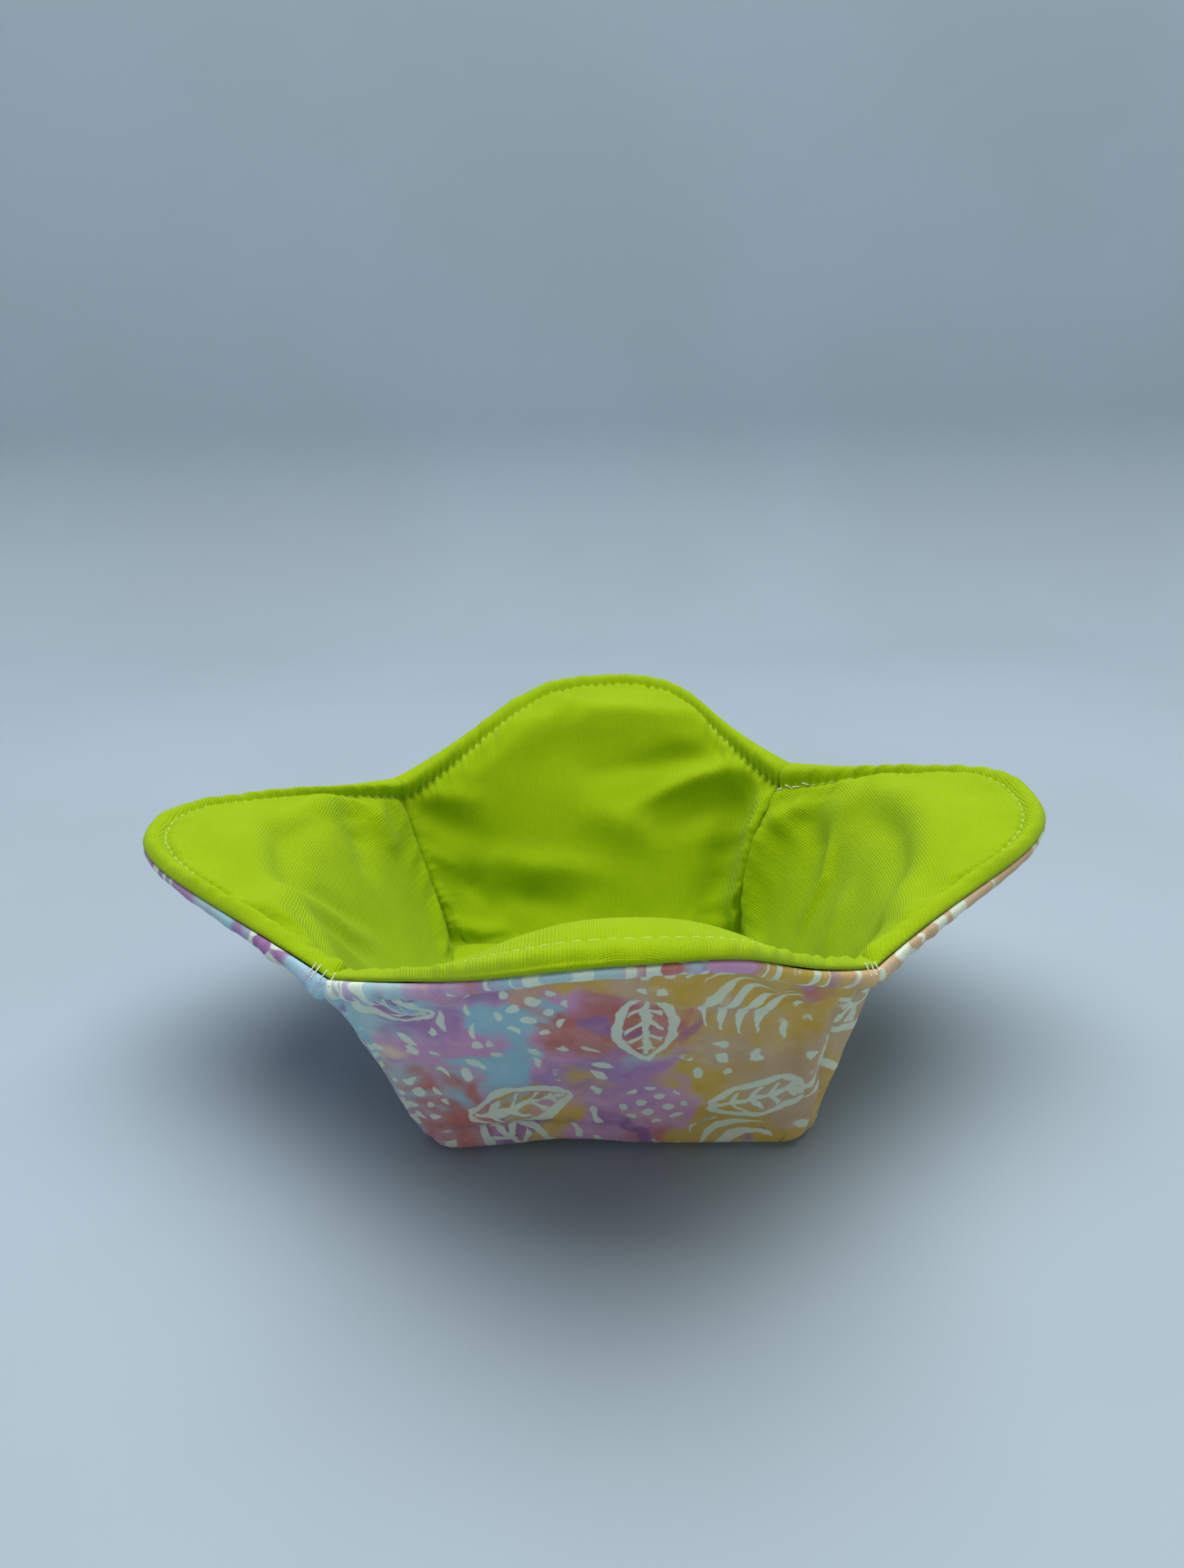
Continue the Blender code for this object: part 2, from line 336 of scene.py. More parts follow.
def rim_point(petal, s):
    """The rim for s from 0 at the first dart to 1 at the next, with the tip at 0.5."""
    first, last = (np.array(SEAMS[name]["dart"]) for name in petal["between"])
    tip = np.array(petal["tip"])
    out, across, up = axes(petal)
    first_arm, before, after, last_arm = petal["arms"]
    lift = up * petal["lifts"][int(s > 0.5)] * math.sin(2 * math.pi * s) ** 2

    def handle(dart, length):
        aim = tip + out * TIP_OVERSHOOT - dart
        return dart + aim / np.linalg.norm(aim) * length

    if s <= 0.5:
        return lift + cubic(first, handle(first, first_arm), tip - across * before, tip, 2 * s)
    return lift + cubic(tip, tip + across * after, handle(last, last_arm), last, 2 * s - 1)


def foot_point(petal, s):
    """The rounded edge of the base below the rim's point."""
    first, last = (np.array(SEAMS[name]["foot"]) for name in petal["between"])
    near_corner = min(s, 1 - s) * np.linalg.norm(last - first) + FOOT_ROUND * (1 - math.sqrt(0.5))
    bulge = FOOT_ROUND * (1 - math.sqrt(0.5))
    if near_corner < FOOT_ROUND:
        bulge -= FOOT_ROUND - math.sqrt(FOOT_ROUND**2 - (FOOT_ROUND - near_corner) ** 2)
    return np.array([*(first + (last - first) * s + axes(petal)[0][:2] * bulge), HALF_BODY])


def run_along(line):
    """The distance from a line's start to each of its points."""
    return np.concatenate([[0.0], np.cumsum(np.linalg.norm(np.diff(line, axis=0), axis=1))])


def evenly(line, steps):
    """The same line with its points evenly spaced, and its length."""
    climbed = run_along(line)
    even = np.linspace(0.0, climbed[-1], steps)
    return np.stack([np.interp(even, climbed, line[:, k]) for k in range(3)], axis=1), climbed[-1]


def bent_wall(petal, s, foot, rim):
    """The middle's way up: a straight wall, a rounded bend and the petal."""
    out, across, up = axes(petal)
    side = 2 * s - 1
    rise = math.radians(petal["rise"])
    flare = out * math.cos(rise) + up * math.sin(rise) + across * side * FLARE_SPREAD
    flare *= petal["flare"] * (1 - SIDE_FLARE * side * side)
    bend = rim - flare
    wall = bend - foot
    before = bend - wall / np.linalg.norm(wall) * petal["round"]
    after = bend + flare * min(petal["round"] / np.linalg.norm(flare), ROUND_LIMIT)
    t = np.linspace(0.0, 1.0, 25)[:, None]
    rounded = (1 - t) ** 2 * before + 2 * (1 - t) * t * bend + t * t * after
    return np.vstack([foot, rounded, rim])


def profile(petal, s):
    """One line of cloth from the base's flat, round the fold and up to the rim."""
    foot, rim = foot_point(petal, s), rim_point(petal, s)
    side = 2 * s - 1
    seam = SEAMS[petal["between"][int(side > 0)]]
    corner = np.array([*seam["foot"], 0.0])
    low_belly, high_belly = (corner / np.linalg.norm(corner) * belly for belly in seam["bellies"])
    low, high = foot + (rim - foot) * LOW_BELLY + low_belly, foot + (rim - foot) * HIGH_BELLY + high_belly
    t = np.linspace(0.0, 1.0, PROFILE_STEPS + 1)[:, None]
    seam_line = cubic(foot, low, high, rim, t)
    middle = 1 - abs(side) ** SEAM_BLEND
    line = seam_line * (1 - middle) + evenly(bent_wall(petal, s, foot, rim), PROFILE_STEPS + 1)[0] * middle

    above = line[run_along(line) > FOOT_FOLD]
    to_middle = np.array([-foot[0], -foot[1], 0.0])
    flat = foot + to_middle / np.linalg.norm(to_middle) * FOOT_FOLD
    turn = np.linspace(0.0, 1.0, 13)[:-1, None]
    fold = (1 - turn) ** 2 * flat + 2 * (1 - turn) * turn * foot + turn**2 * above[0]
    return evenly(np.vstack([fold, above]), 2 * PROFILE_STEPS)


def column_places(count):
    """Where the columns of one petal stand, closer together at the darts."""
    x = np.arange(count) / count
    return x - COLUMN_CROWDING * np.sin(2 * math.pi * x) / (2 * math.pi)


per_petal = COLUMNS // 4
column_petal = np.repeat(np.arange(4), per_petal)
column_s = np.tile(column_places(per_petal), 4)
profiles = [profile(PETALS[PETAL_NAMES[p]], s) for p, s in zip(column_petal, column_s)]
middle_lines = np.array([line for line, _ in profiles])
lengths = np.array([length for _, length in profiles])
outward = np.array([axes(PETALS[name])[0] for name in PETAL_NAMES])
sideways = np.array([axes(PETALS[name])[1] for name in PETAL_NAMES])
middle_normals = np.cross(
    np.gradient(middle_lines, axis=1), np.roll(middle_lines, -1, axis=0) - np.roll(middle_lines, 1, axis=0)
)
middle_normals[:, 0] = (0.0, 0.0, 1.0)
middle_normals /= np.linalg.norm(middle_normals, axis=2, keepdims=True)


def between_rows(field, share):
    """The field's values on every column, at a share of the way along it."""
    steps = field.shape[1] - 1
    place = np.clip(share, 0.0, 1.0) * steps
    low = np.minimum(place.astype(int), steps - 1)
    rest = (place - low).reshape(-1, *[1] * (field.ndim - 2))
    column = np.arange(len(field))
    return field[column, low] * (1 - rest) + field[column, low + 1] * rest


def read_columns(field, climbed):
    """The field's values on every column at the distances climbed on it."""
    return between_rows(field, climbed / lengths)


def offset_points(climbed, offset):
    middle = read_columns(middle_lines, climbed)
    normal = read_columns(middle_normals, climbed)
    normal /= np.linalg.norm(normal, axis=1, keepdims=True)
    return middle + normal * np.broadcast_to(offset, (COLUMNS,))[:, None]


def flat_place(points, climbed, petal):
    """Where points of the form lie on the flat cloth: up the wall and across the petal."""
    start = np.einsum("ij,ij->i", middle_lines[:, 0], outward[petal])
    side = np.einsum("ij,ij->i", points, sideways[petal])
    up = (start + climbed)[:, None] * outward[petal] + side[:, None] * sideways[petal]
    return up[:, :2]


# The rim's arc, on which the stitches are counted.
STITCH_INSET = 6.3
STITCH_PITCH = 3.25
rim_line = read_columns(middle_lines, lengths - STITCH_INSET)
rim_steps = np.linalg.norm(np.roll(rim_line, -1, axis=0) - rim_line, axis=1)
rim_arc = np.concatenate([[0.0], np.cumsum(rim_steps)[:-1]])
rim_length = rim_steps.sum()
stitch_count = round(rim_length / STITCH_PITCH)
stitch_phase = rim_arc / rim_length * stitch_count

# How the padding swells from the middle surface. At the rim it rolls over to the seam,
# with the topstitching 6.3 mm in, and beside each dart's seam it dips into a valley.

ROLL_INSET = (0.0, 0.4, 1.2, 2.4, 3.6, 4.7, 5.6, 6.3, 7.0, 8.0, 9.6, 12.0)
ROLL_HEIGHT = (1.2, 2.2, 3.1, 3.65, 3.6, 3.1, 2.3, 1.85, 2.3, 2.8, 3.05, 3.1)
SEAM_LINE = 1.4
SEAM_LINE_WIDTH = 0.7
SEAM_VALLEY = 0.9
SEAM_VALLEY_WIDTH = 3.0
SEAM_SWELL = 8.0
LINING_PULL = {"front": 0.12, "right": 0.8, "rear": 2.0, "left": 0.8}
OUTER_PULL = {"front": 1.7, "right": 1.2, "rear": 1.5, "left": 1.2}
DART_SWELLS = (1.4, 0.8, 2.4, 1.8)
CORNER_FILLS = (3.0, 3.0, 7.0, 1.0)
CORNER_FILL_WIDTH, REAR_FILL_WIDTH = 9.0, 5.5
# The roll is wider where the rim is thick, for s from 0 to 1 on the rear and the right petal.
REAR_WIDTH = (
    (0.0, 0.12, 0.3, 0.44, 0.56, 0.75, 0.9, 1.0),
    (1.5, 1.4, 1.25, 1.0, 1.1, 1.5, 1.45, 1.3),
)
RIGHT_WIDTH = ((0.0, 0.72, 0.88, 1.0), (1.0, 1.0, 1.4, 1.6))
# How far the lining wraps over the front petal's edge, for s from 0 to 1.
WRAP = ((0.0, 0.12, 0.3, 0.42, 0.55, 0.75, 1.0), (0.4, 0.3, 0.8, 1.0, 0.3, 0.0, 0.4))
WRAP_ELSEWHERE = 0.3
# Shares of a stitch's pull: along the thread, at its needle holes, and beside them.
THREAD_PINCH, HOLE_PINCH, BESIDE_PINCH = 0.3, 0.5, 0.32
# The front petal's lining has thinner padding, and stitches that hardly sink into it.
FRONT_THINNER, FRONT_STITCH_LIFT, FRONT_CALM = 0.26, 0.8, 0.35
WALL_SWELL = 0.7
ROLL_TOP, ROLL_SPREAD = 2.8, 2.4
ROLL_RIPPLE, DART_RIPPLE = 0.14, 0.4
PUCKER, PUCKER_INSET, SEAM_PUCKER = 0.25, 9.5, 0.16

# Folds of the lining and of the outer, on each petal and the wall below it: a width, and
# points (x, y, height) on the flat cloth. A height below zero is a hollow.
LINING_FOLDS = {
    "rear": (
        (2.4, (61, 105, 0.8), (57.5, 97, 2.4), (53.5, 85, 3.0),
         (49.5, 73, 3.3), (46, 60, 3.0), (49, 52, 1.2)),
        (5.5, (52, 101, -1.4), (48, 92, -3.8), (44, 79, -5.2), (42, 70, -4.8), (39, 59, -2.4)),
        (3.4, (62, 108, 0.8), (50, 108, 2.8), (36, 105, 3.4),
         (26, 101, 2.6), (18, 97, 1.2), (10, 92, 0.0)),
        (4.5, (54, 115, -0.6), (44, 115, -2.4), (28, 113, -2.6), (14, 110, -1.6), (2, 108, -0.6)),
        (5.5, (46, 97, -2.6), (36, 93, -2.8), (26, 88, -1.2)),
        (10.0, (-30, 108, -0.4), (-10, 114, -1.6), (10, 116, -2.0), (28, 113, -0.8)),
        (7.0, (2, 92, 1.4), (12, 89, 2.6), (20, 84, 1.2)),
        (5.0, (-46, 76, -1.2), (-42, 70, -3.2), (-36, 62, -1.6)),
        (5.0, (-32, 78, 1.2), (-21, 75, 2.6), (-10, 74, 2.0), (4, 71, 0.6)),
        (4.5, (-30, 66, -1.6), (-22, 64, -2.6), (-10, 62, -1.2)),
        (5.0, (-54, 96, -1.8), (-46, 90, -2.2), (-36, 84, -0.8)),
        (4.0, (-60, 104, 0.6), (-52, 102, 2.0), (-42, 99, 1.4)),
        (4.0, (-50, 84, 0.8), (-48, 78, 1.8), (-46, 70, 0.4)),
    ),
    "left": (
        (5.5, (-106, 44, -1.2), (-103, 37, -3.2), (-98, 30, -1.6)),
        (4.0, (-108, 53, 0.8), (-104, 49, 2.4), (-96, 47, 1.4)),
        (5.0, (-114, 46, -1.0), (-111, 42, -2.2), (-108, 32, -0.8)),
        (7.0, (-118, 28, -2.2), (-122, 8, -4.2), (-116, -14, -2.6)),
        (4.4, (-114, -24, 0.3), (-109, -17, 1.4), (-99, -11, 1.6), (-91, -6, 1.3), (-76, 8, 0.3)),
        (5.0, (-112, -12, -0.5), (-102, -4, -1.3), (-92, 2, -1.2), (-80, 10, -0.3)),
        (4.0, (-106, -26, -0.4), (-98, -19, -1.0), (-88, -13, -0.8), (-76, -4, 0.0)),
        (4.4, (-105, -32, 0.4), (-96, -25, 1.2), (-86, -20, 1.0), (-74, -12, 0.3)),
    ),
    "right": (
        (6.5, (108, 46, -1.0), (103, 42, -2.6), (97, 35, -3.6), (88, 28, -2.4), (76, 22, -0.6)),
        (2.3, (104, 30, 0.4), (98, 24, 2.0), (92, 19, 2.4), (83, 17, 2.2), (70, 12, 0.8)),
        (3.4, (108, 50, 0.8), (103, 49, 2.4), (96, 50, 1.4)),
        (3.0, (106, 58, -1.0), (102, 57, -2.2), (96, 56, -1.0)),
        (7.0, (118, 24, -1.6), (119, 4, -3.0), (114, -16, -1.8)),
        (5.0, (108, -40, -0.6), (101, -36, -2.0), (94, -33, -1.6), (84, -30, -0.4)),
        (6.5, (100, 6, 0.4), (92, 0, 1.8), (82, -6, 1.4), (72, -10, 0.2)),
    ),
    "front": (
        (5.0, (-44, -118, 0.4), (-30, -126, 1.2), (-14, -130, 0.8)),
    ),
}
OUTER_FOLDS = {
    "front": (
        (3.0, (-52, -100, -0.8), (-30, -118, -1.2), (0, -128, -1.3), (28, -122, -1.2), (52, -100, -0.8)),
        (4.0, (6, -122, 0.8), (26, -116, 1.6), (44, -104, 0.9)),
        (3.0, (14, -114, -1.4), (34, -108, -2.2), (46, -100, -0.8)),
        (5.0, (-40, -100, 1.2), (-20, -104, 1.4), (0, -104, 0.8)),
        (4.0, (-46, -86, -1.1), (-24, -92, -1.4), (-6, -90, -0.4)),
        (3.0, (-40, -66, 1.2), (-22, -71, 1.8), (-8, -69, 1.4), (4, -63, 0.2)),
        (2.2, (-38, -60, -1.0), (-24, -63, -2.0), (-8, -62, -1.8), (2, -58, -0.4)),
        (5.0, (-38, -80, 1.1), (-26, -72, 0.9)),
        (5.0, (20, -78, 1.1), (36, -70, 0.9)),
        (2.6, (50, -112, 0.4), (51, -96, 1.6), (49, -80, 1.4), (47, -64, 0.4)),
        (2.4, (45, -108, -0.4), (45, -94, -1.6), (44, -78, -1.2)),
    ),
    "right": (
        (5.0, (60, -48, 1.4), (80, -50, 1.8), (100, -52, 0.6)),
    ),
    "left": (
        (5.0, (-60, -44, 1.5), (-80, -50, 1.9), (-100, -54, 0.6)),
        (4.0, (-64, -34, -1.1), (-84, -38, -1.4)),
    ),
    "rear": (
        (5.0, (-30, 90, 1.2), (0, 96, 1.5), (30, 90, 1.1)),
        (4.0, (-36, 100, -1.1), (0, 108, -1.5), (36, 100, -1.0)),
    ),
}
FOOT_ARCH, FOOT_ARCH_AT, FOOT_ARCH_WIDTH = 3.2, -11.0, 13.0
DIMPLE_COUNT = 260
DIMPLE_HEIGHT = 0.3
RIPPLE_WAVES, RIPPLE_LONGEST = 9, 24.0


def bell(distance, width):
    """1 at no distance, falling smoothly to nothing beyond the width."""
    return np.exp(-((distance / width) ** 2))


def ramp(values, start, span):
    """0 up to the start and 1 from a span beyond it."""
    return np.clip((values - start) / span, 0.0, 1.0)


def fold_height(flat, points, width):
    """The height of one fold, with its own height at each of its points."""
    best = np.full(len(flat), np.inf)
    height = np.zeros(len(flat))
    for (ax, ay, a_height), (bx, by, b_height) in zip(points, points[1:]):
        start, run = np.array([ax, ay]), np.array([bx - ax, by - ay])
        t = np.clip((flat - start) @ run / (run @ run), 0.0, 1.0)
        gap = np.linalg.norm(flat - start - t[:, None] * run, axis=1)
        nearer = gap < best
        best = np.where(nearer, gap, best)
        height = np.where(nearer, a_height + (b_height - a_height) * t, height)
    return height * bell(best, width)


def dimples(seed):
    """Soft random bumps of the padding, as places, widths and heights."""
    random = np.random.default_rng(seed)
    return (
        random.uniform(-150, 150, (DIMPLE_COUNT, 2)),
        random.uniform(5, 13, DIMPLE_COUNT),
        random.normal(0, DIMPLE_HEIGHT, DIMPLE_COUNT),
    )


def lumps(flat, bumps):
    places, widths, heights = bumps
    gaps = np.linalg.norm(flat[:, None] - places[None], axis=2)
    return (heights * bell(gaps, widths)).sum(axis=1)


def ripple(arc, seed, shortest=5.0):
    """A smooth random line round the rim, between about -1 and 1."""
    random = np.random.default_rng(seed)
    turns = np.round(rim_length / random.uniform(shortest, RIPPLE_LONGEST, RIPPLE_WAVES))
    shifts = random.uniform(0, 2 * math.pi, RIPPLE_WAVES)
    waves = (np.sin(2 * math.pi * n * arc / rim_length + h) for n, h in zip(turns, shifts))
    return sum(waves) / math.sqrt(RIPPLE_WAVES)


def blurred_round(values, passes=60):
    """Values of the columns, with each petal's running softly into the next one's."""
    for _ in range(passes):
        values = (np.roll(values, 1) + 2 * values + np.roll(values, -1)) / 4
    return values


def seam_distance(points):
    """The distance along a ring to the nearer of its petal's two seams."""
    steps = np.linalg.norm(np.roll(points, -1, axis=0) - points, axis=1).reshape(4, -1)
    after = np.concatenate([np.zeros((4, 1)), np.cumsum(steps, axis=1)[:, :-1]], axis=1)
    return np.minimum(after, steps.sum(axis=1, keepdims=True) - after).ravel()


def face_offset(points, flat, climbed, side, bumps, seed, settled):
    """How far one cloth stands off the middle surface, in one ring."""
    inset = (lengths - climbed) / roll_width
    folds, pulls = (LINING_FOLDS, LINING_PULL) if side > 0 else (OUTER_FOLDS, OUTER_PULL)
    offset = np.interp(inset, ROLL_INSET, ROLL_HEIGHT)
    if side > 0:
        offset *= 1 - FRONT_THINNER * at_front_petal * np.clip((30.0 - inset) / 15.0, 0.0, 1.0)
        offset += FRONT_STITCH_LIFT * at_front_petal * bell(inset - STITCH_INSET, 1.5)
    to_seam = seam_distance(points)
    on_wall = ramp(inset, 8.0, 6.0) * ramp(climbed, 2.0, 8.0)
    offset += on_wall * WALL_SWELL * (1 - np.exp(-to_seam / SEAM_SWELL))

    # The thread pulls the cloth in, most at its needle holes, and the roll swells between.
    pull = blurred_round(np.array([pulls[name] for name in PETAL_NAMES])[column_petal])
    at_hole = 0.5 + 0.5 * np.cos(2 * math.pi * stitch_phase)
    near_thread = bell(inset - STITCH_INSET, 1.1)
    beside_thread = BESIDE_PINCH * bell(inset - STITCH_INSET, 2.4) * (at_hole - 0.5)
    offset -= pull * (THREAD_PINCH * near_thread + HOLE_PINCH * near_thread * at_hole**3 + beside_thread)
    on_roll = bell(inset - ROLL_TOP, ROLL_SPREAD)
    near_dart = np.exp(-rim_to_dart / 24.0)
    offset += on_roll * (ROLL_RIPPLE + DART_RIPPLE * near_dart) * ripple(rim_arc, seed)
    offset += on_roll * np.array(DART_SWELLS)[nearest_dart] * np.exp(-rim_to_dart / 16.0)
    puckers = PUCKER * pull * bell(inset - PUCKER_INSET, 3.0) * (1 - np.exp(-to_seam / 3.0))
    offset += puckers * ripple(rim_arc, seed + 1, shortest=4.0)
    offset -= side * rim_wrap * bell(inset, 1.5)

    # A dart's seam is a thin deep line in a soft valley, and its thread puckers the cloth.
    depth = ramp(climbed, 0.0, 8.0) * np.clip(0.6 + inset / 16.0, 0.0, 1.0)
    valley = SEAM_VALLEY * np.exp(-to_seam / SEAM_VALLEY_WIDTH)
    offset -= depth * (SEAM_LINE * np.exp(-to_seam / SEAM_LINE_WIDTH) + valley)
    up_the_seams = ripple(climbed * 7.0 + column_petal * 200.0, seed + 2)
    offset += SEAM_PUCKER * on_wall * np.exp(-to_seam / 4.0) * up_the_seams

    if side > 0:
        rise = np.sin(math.pi * np.clip(climbed / lengths, 0.0, 1.0)) ** 1.5
        width = np.where(column_petal == 2, REAR_FILL_WIDTH, CORNER_FILL_WIDTH)
        offset += rise * np.array(CORNER_FILLS)[nearest_dart] * bell(to_seam, width)
    else:
        at_front = bell(points[:, 0] - FOOT_ARCH_AT, FOOT_ARCH_WIDTH) * (column_petal == 0)
        offset -= FOOT_ARCH * at_front * bell(climbed, 5.0)
    for name, petal_folds in folds.items():
        mine = column_petal == PETAL_NAMES.index(name)
        for width, *line in petal_folds:
            offset[mine] += fold_height(flat[mine], line, width) * ramp(inset[mine], STITCH_INSET, 5.0)
    offset += on_wall * lumps(flat, bumps)
    calm = blurred_round(np.where((column_petal == 0) & (side > 0), FRONT_CALM, 1.0))
    offset = np.maximum(offset, np.interp(inset, (8.0, 12.0), (0.6, -8.0)))
    return offset + calm * between_rows(settled, (climbed - FOOT_FOLD) / (stitch_climb - FOOT_FOLD))


rim_to_dart = seam_distance(rim_line)
nearest_dart = (column_petal + (column_s > 0.5)) % 4
at_front_petal = blurred_round(np.where(column_petal == 0, 1.0, 0.0))
roll_width = np.where(column_petal == 2, np.interp(column_s, *REAR_WIDTH), 1.0)
roll_width = blurred_round(np.where(column_petal == 1, np.interp(column_s, *RIGHT_WIDTH), roll_width))
stitch_climb = lengths - STITCH_INSET * roll_width
rim_wrap = blurred_round(np.where(column_petal == 0, np.interp(column_s, *WRAP), WRAP_ELSEWHERE))

# The cloths settle in Blender's cloth simulation before they are sewn. Each wall has a
# little spare cloth, is held at its base, its seams and its stitches, and buckles between.

SETTLE_COLUMNS = 240
SETTLE_ROWS = 34
SETTLE_SCALE = 10.0
SETTLE_FRAMES = 24
SETTLE_PRESSURE = 6.0
SETTLE_BLURS = 7


def settle(name, side, seed, slack, reach):
    """How far one cloth settles off the padding: on every column, at even steps up."""
    step = COLUMNS // SETTLE_COLUMNS
    bumps = dimples(seed)
    start, normals = [], []
    for share in np.linspace(0.0, 1.0, SETTLE_ROWS):
        climbed = FOOT_FOLD + (stitch_climb - FOOT_FOLD) * share
        flat = flat_place(read_columns(middle_lines, climbed), climbed, column_petal)
        height = HALF_BODY + (0.0 < share < 1.0) * lumps(flat, bumps)
        start.append(offset_points(climbed, side * height)[::step])
        normals.append((side * read_columns(middle_normals, climbed))[::step])
    start, normals = np.array(start), np.array(normals)
    r, c = np.mgrid[0 : SETTLE_ROWS - 1, 0:SETTLE_COLUMNS]
    after = (c + 1) % SETTLE_COLUMNS
    low, high = r * SETTLE_COLUMNS, (r + 1) * SETTLE_COLUMNS
    corners = [low + c, low + after, high + after, high + c]
    faces = np.stack(corners[::side], axis=-1).reshape(-1, 4)
    mesh = bpy.data.meshes.new(name)
    mesh.from_pydata((start.reshape(-1, 3) * MM * SETTLE_SCALE).tolist(), [], faces.tolist())
    cloth = add(name, mesh)
    r, c = np.mgrid[0:SETTLE_ROWS, 0:SETTLE_COLUMNS]
    held = (r == 0) | (r == SETTLE_ROWS - 1) | (c % (SETTLE_COLUMNS // 4) == 0)
    cloth.vertex_groups.new(name="held").add(np.flatnonzero(held).tolist(), 1.0, "REPLACE")
    modifier = cloth.modifiers.new("settling", "CLOTH")
    settings = modifier.settings
    settings.vertex_group_mass = "held"
    settings.mass = 0.08
    settings.quality = 6
    settings.tension_stiffness = settings.compression_stiffness = 60.0
    settings.shear_stiffness = 20.0
    settings.bending_stiffness = 1.5
    settings.shrink_min = -slack
    settings.use_pressure = True
    settings.uniform_pressure_force = SETTLE_PRESSURE
    settings.effector_weights.gravity = 0.0
    modifier.collision_settings.use_collision = False
    modifier.point_cache.frame_end = SETTLE_FRAMES
    for moment in range(1, SETTLE_FRAMES + 1):
        bpy.context.scene.frame_set(moment)
    bpy.context.view_layer.objects.active = cloth
    bpy.ops.object.modifier_apply(modifier="settling")
    settled = np.empty(3 * len(mesh.vertices), dtype=np.float32)
    cloth.data.vertices.foreach_get("co", settled)
    bpy.data.objects.remove(cloth)
    bpy.context.scene.frame_set(1)
    moved = settled.reshape(start.shape) / (MM * SETTLE_SCALE) - start
    moved = reach * np.tanh((moved * normals).sum(axis=2) / reach)

    # More columns and rows, without the coarse cloth's facets.
    round_again = np.vstack([moved.T, moved.T[:1]])
    columns = np.arange(COLUMNS) / step
    known = np.arange(SETTLE_COLUMNS + 1)
    fine = np.stack([np.interp(columns, known, row) for row in round_again.T], axis=1)
    places = np.linspace(0, SETTLE_ROWS - 1, 4 * SETTLE_ROWS - 3)
    fine = np.stack([np.interp(places, np.arange(SETTLE_ROWS), column) for column in fine])
    for _ in range(SETTLE_BLURS):
        fine = (np.roll(fine, 1, axis=0) + 2 * fine + np.roll(fine, -1, axis=0)) / 4
        more = np.pad(fine, ((0, 0), (1, 1)), mode="edge")
        fine = (more[:, :-2] + 2 * fine + more[:, 2:]) / 4
    return fine


# The two cotton squares: 0.5 mm cloths that are sewn together round the rim and turned, so
# that the hem lies inside. Each is rings of points, sewn into one closed mesh. A ring has a
# point on every one, two, four or eight columns, and the first and last close the base.

BASE_SHARES = (0.05, 0.15, 0.27, 0.4, 0.53, 0.66, 0.78, 0.88, 0.95)
FOLD_CLIMBS = (0.0, 0.7, 1.4, 2.1, 2.8, 3.5, 4.2, 5.0, 5.9, 7.0)
WALL_ROWS = 66
RIM_INSETS = (12.0, 10.8, 9.7, 8.8, 8.0, 7.4, 6.9, 6.3, 5.7, 5.2)
RIM_INSETS += (4.6, 3.8, 3.0, 2.3, 1.7, 1.2, 0.7, 0.3, 0.0)
FABRIC = 0.5
BASE_SWELL = 0.8
# The hem, as distances in from the rim and off the middle surface.
HEM = ((0.1, 0.6), (0.45, 0.2), (7.4, 0.2), (7.4, 0.7), (1.3, 0.7))
# Where the lining sinks into a fold, the outer is pushed out, and both stay this thick together.
LEAST_THICKNESS = 3.2
# How hidden backs lie below their faces: at least this high, and this far below the face.
BACK_LEAST, BACK_CLEAR = 0.9, 0.25


class Ring:
    """Points round the bowl, with their places on the flat cloth seen from both petals."""

    def __init__(self, points, climbed, step):
        self.points = points[::step]
        self.flat = flat_place(points, climbed, column_petal)[::step]
        self.flat_before = flat_place(points, climbed, (column_petal + 3) % 4)[::step]


def ring_at(climbed, height, step):
    """A ring at a height off the middle surface, with a point on every few columns."""
    return Ring(offset_points(climbed, height), climbed, step)


def base_ring(edge, share, lift, step):
    """A ring inside the base's flat, towards its middle."""
    ring = Ring(edge.copy(), np.zeros(COLUMNS), step)
    inner = ring.points * np.array([share, share, 1.0])
    inner[:, 2] = ring.points[:, 2] + lift(inner[:, :2])
    ring.points = inner
    ring.flat = ring.flat_before = inner[:, :2].copy()
    return ring


# What fills a cell between two rings: faces whose corners are 0 for the lower ring or 1 for
# the upper one, and steps along it from the cell's first point.
QUAD = (((0, 0), (0, 1), (1, 1), (1, 0)),)
MORE_ABOVE = (((0, 0), (1, 1), (1, 0)), ((0, 0), (0, 1), (1, 1)), ((0, 1), (1, 2), (1, 1)))
MORE_BELOW = (((0, 0), (0, 1), (1, 0)), ((0, 1), (1, 1), (1, 0)), ((0, 1), (0, 2), (1, 1)))


